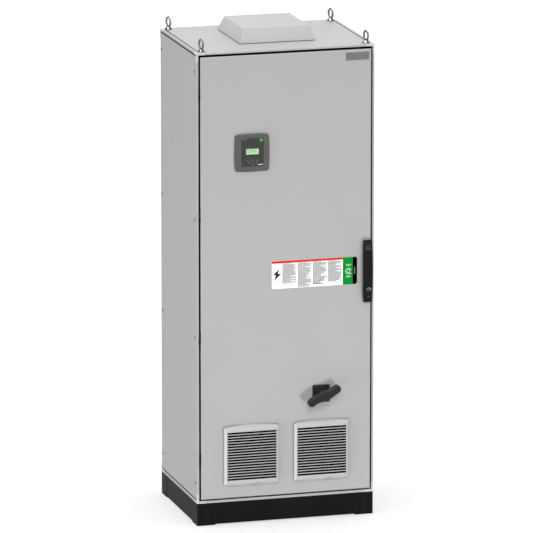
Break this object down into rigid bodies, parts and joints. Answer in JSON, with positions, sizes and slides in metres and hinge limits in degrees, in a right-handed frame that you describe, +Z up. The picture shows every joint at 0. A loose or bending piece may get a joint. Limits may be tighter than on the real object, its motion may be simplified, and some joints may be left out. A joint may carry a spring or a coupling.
{
  "type": "variable frequency drive",
  "caption": "Floor-standing metal cabinet with a motor drive inside, a hinged door with controller, breaker handle, swing handle and filter grilles, roof fan hood and lifting eyes.",
  "frame": {"origin": "on the floor, at the centre of the cabinet's footprint and of its floor anchor pattern", "axes": "+X to the right seen from the front, -Y out of the door, +Z up"},
  "size_m": [0.8, 0.67, 2.163],
  "materials": {
    "plinth": "black textured powder coat",
    "enclosure": "light grey textured powder coat",
    "zinc_steel": "zinc plated steel",
    "dark_steel": "dark plated steel",
    "black_rubber": "foamed black gasket",
    "galvanised": "galvanised sheet steel",
    "black_plastic": "moulded black plastic",
    "device_plastic": "moulded dark grey plastic",
    "terminal_plastic": "moulded grey plastic",
    "duct_plastic": "grey slotted duct plastic",
    "core_steel": "varnished laminated steel",
    "coil_resin": "impregnated copper winding",
    "copper": "bare copper bar",
    "support_resin": "red moulded resin",
    "bare_aluminium": "extruded aluminium",
    "drive_metal": "grey painted sheet steel",
    "drive_plastic": "moulded grey plastic cover",
    "circuit_board": "green circuit board",
    "capacitor_can": "aluminium can with sleeve",
    "plate_grey": "dark grey plate without any mark",
    "label_white": null,
    "bezel_grey": "mid grey moulded bezel",
    "face_grey": "dark grey key panel",
    "display": "green backlit liquid crystal display",
    "grille_plastic": "light grey moulded plastic",
    "filter_fleece": "chopped fibre filter mat",
    "handle_black": "black textured plastic",
    "lever_black": "dark grey textured plastic",
    "key_grey": "dark rubber key"
  },
  "bodies": {
    "cabinet": {"plinth_corners": "plinth", "plinth_skirts": "plinth", "frame_corners": "enclosure", "frame_rails": "enclosure", "frame_posts": "enclosure", "roof_plate": "enclosure", "roof_hood": "enclosure", "eyebolts": "zinc_steel", "side_panels": "enclosure", "back_panel": "enclosure", "panel_screws": "dark_steel", "panel_gaskets": "black_rubber", "floor_plates": "galvanised", "roof_fan_frame": "black_plastic", "mounting_plate": "galvanised", "din_rails": "galvanised", "control_relays": "device_plastic", "terminal_blocks": "terminal_plastic", "cable_ducts": "duct_plastic", "breaker_body": "device_plastic", "main_fuses": "device_plastic", "contactor": "device_plastic", "choke_core": "core_steel", "choke_coils": "coil_resin", "busbars": "copper", "busbar_supports": "support_resin", "drive_heatsink": "bare_aluminium", "drive_housing": "drive_metal", "drive_cover": "drive_plastic", "drive_board": "circuit_board", "drive_capacitors": "capacitor_can", "hinges": "dark_steel"},
    "door": {"door_skin": "enclosure", "door_stiffeners": "enclosure", "door_gasket": "black_rubber", "name_plate": "plate_grey", "warning_label": "label_white", "controller_bezel": "bezel_grey", "controller_face": "face_grey", "controller_display": "display", "controller_housing": "black_plastic", "breaker_plate": "black_plastic", "grille_frames": "grille_plastic", "filter_mats": "filter_fleece", "handle_base": "handle_black"},
    "breaker_lever": {"breaker_lever": "lever_black"},
    "breaker_shaft": {"breaker_shaft": "zinc_steel"},
    "handle_swivel": {"lock_cam": "zinc_steel"},
    "handle_lever": {"handle_lever": "handle_black"},
    "lock_cylinder": {"lock_cylinder": "zinc_steel"},
    "upper_rod": {"lock_rod_upper": "zinc_steel"},
    "lower_rod": {"lock_rod_lower": "zinc_steel"},
    "left_grille": {"grille_cover_left": "grille_plastic"},
    "right_grille": {"grille_cover_right": "grille_plastic"},
    "left_key": {"key_left": "key_grey"},
    "right_key": {"key_right": "key_grey"},
    "up_key": {"key_up": "key_grey"},
    "down_key": {"key_down": "key_grey"},
    "roof_fan": {"roof_fan_rotor": "black_plastic"},
    "drive_fan": {"drive_fan": "black_plastic"}
  },
  "joints": [
    {"name": "door_hinge", "type": "hinge", "parent": "cabinet", "child": "door", "pos_m": [-0.38725, -0.3035, 1.1], "axis": [0, 0, -1], "range_deg": [0, 120]},
    {"name": "breaker_turn", "type": "hinge", "parent": "door", "child": "breaker_lever", "pos_m": [0.159, -0.33, 0.561], "axis": [0, -1, 0], "range_deg": [-25.9, 64.1]},
    {"name": "shaft_turn", "type": "hinge", "parent": "cabinet", "child": "breaker_shaft", "pos_m": [0.159, 0, 0.561], "axis": [0, -1, 0], "range_deg": [-25.9, 64.1]},
    {"name": "handle_turn", "type": "hinge", "parent": "door", "child": "handle_swivel", "pos_m": [0.365, -0.31, 1.205], "axis": [0, 1, 0], "range_deg": [0, 90]},
    {"name": "handle_lift", "type": "hinge", "parent": "handle_swivel", "child": "handle_lever", "pos_m": [0.365, -0.32, 1.224], "axis": [-1, 0, 0], "range_deg": [0, 30]},
    {"name": "lock_turn", "type": "hinge", "parent": "handle_lever", "child": "lock_cylinder", "pos_m": [0.368, -0.32, 1.018], "axis": [0, -1, 0], "range_deg": [0, 90]},
    {"name": "upper_rod_slide", "type": "slide", "parent": "door", "child": "upper_rod", "axis": [0, 0, -1], "range_m": [0, 0.0126]},
    {"name": "lower_rod_slide", "type": "slide", "parent": "door", "child": "lower_rod", "axis": [0, 0, 1], "range_m": [0, 0.0126]},
    {"name": "left_grille_tilt", "type": "hinge", "parent": "door", "child": "left_grille", "pos_m": [-0.1585, -0.3073, 0.4462], "axis": [-1, 0, 0], "range_deg": [0, 75]},
    {"name": "right_grille_tilt", "type": "hinge", "parent": "door", "child": "right_grille", "pos_m": [0.1585, -0.3073, 0.4462], "axis": [-1, 0, 0], "range_deg": [0, 75]},
    {"name": "left_key_press", "type": "slide", "parent": "door", "child": "left_key", "axis": [0, 1, 0], "range_m": [0, 0.0012], "stiffness_N_per_m": 300},
    {"name": "right_key_press", "type": "slide", "parent": "door", "child": "right_key", "axis": [0, 1, 0], "range_m": [0, 0.0012], "stiffness_N_per_m": 300},
    {"name": "up_key_press", "type": "slide", "parent": "door", "child": "up_key", "axis": [0, 1, 0], "range_m": [0, 0.0012], "stiffness_N_per_m": 300},
    {"name": "down_key_press", "type": "slide", "parent": "door", "child": "down_key", "axis": [0, 1, 0], "range_m": [0, 0.0012], "stiffness_N_per_m": 300},
    {"name": "roof_fan_spin", "type": "hinge", "parent": "cabinet", "child": "roof_fan", "pos_m": [0.006, 0.025, 2.067], "axis": [0, 0, 1], "continuous": true},
    {"name": "drive_fan_spin", "type": "hinge", "parent": "cabinet", "child": "drive_fan", "pos_m": [0, 0.164, 1.859], "axis": [0, 0, 1], "continuous": true}
  ],
  "couplings": [
    {"joint": "shaft_turn", "follows": "breaker_turn", "ratio": 1},
    {"joint": "upper_rod_slide", "follows": "handle_turn", "m_per_rad": 0.008},
    {"joint": "lower_rod_slide", "follows": "handle_turn", "m_per_rad": 0.008}
  ]
}
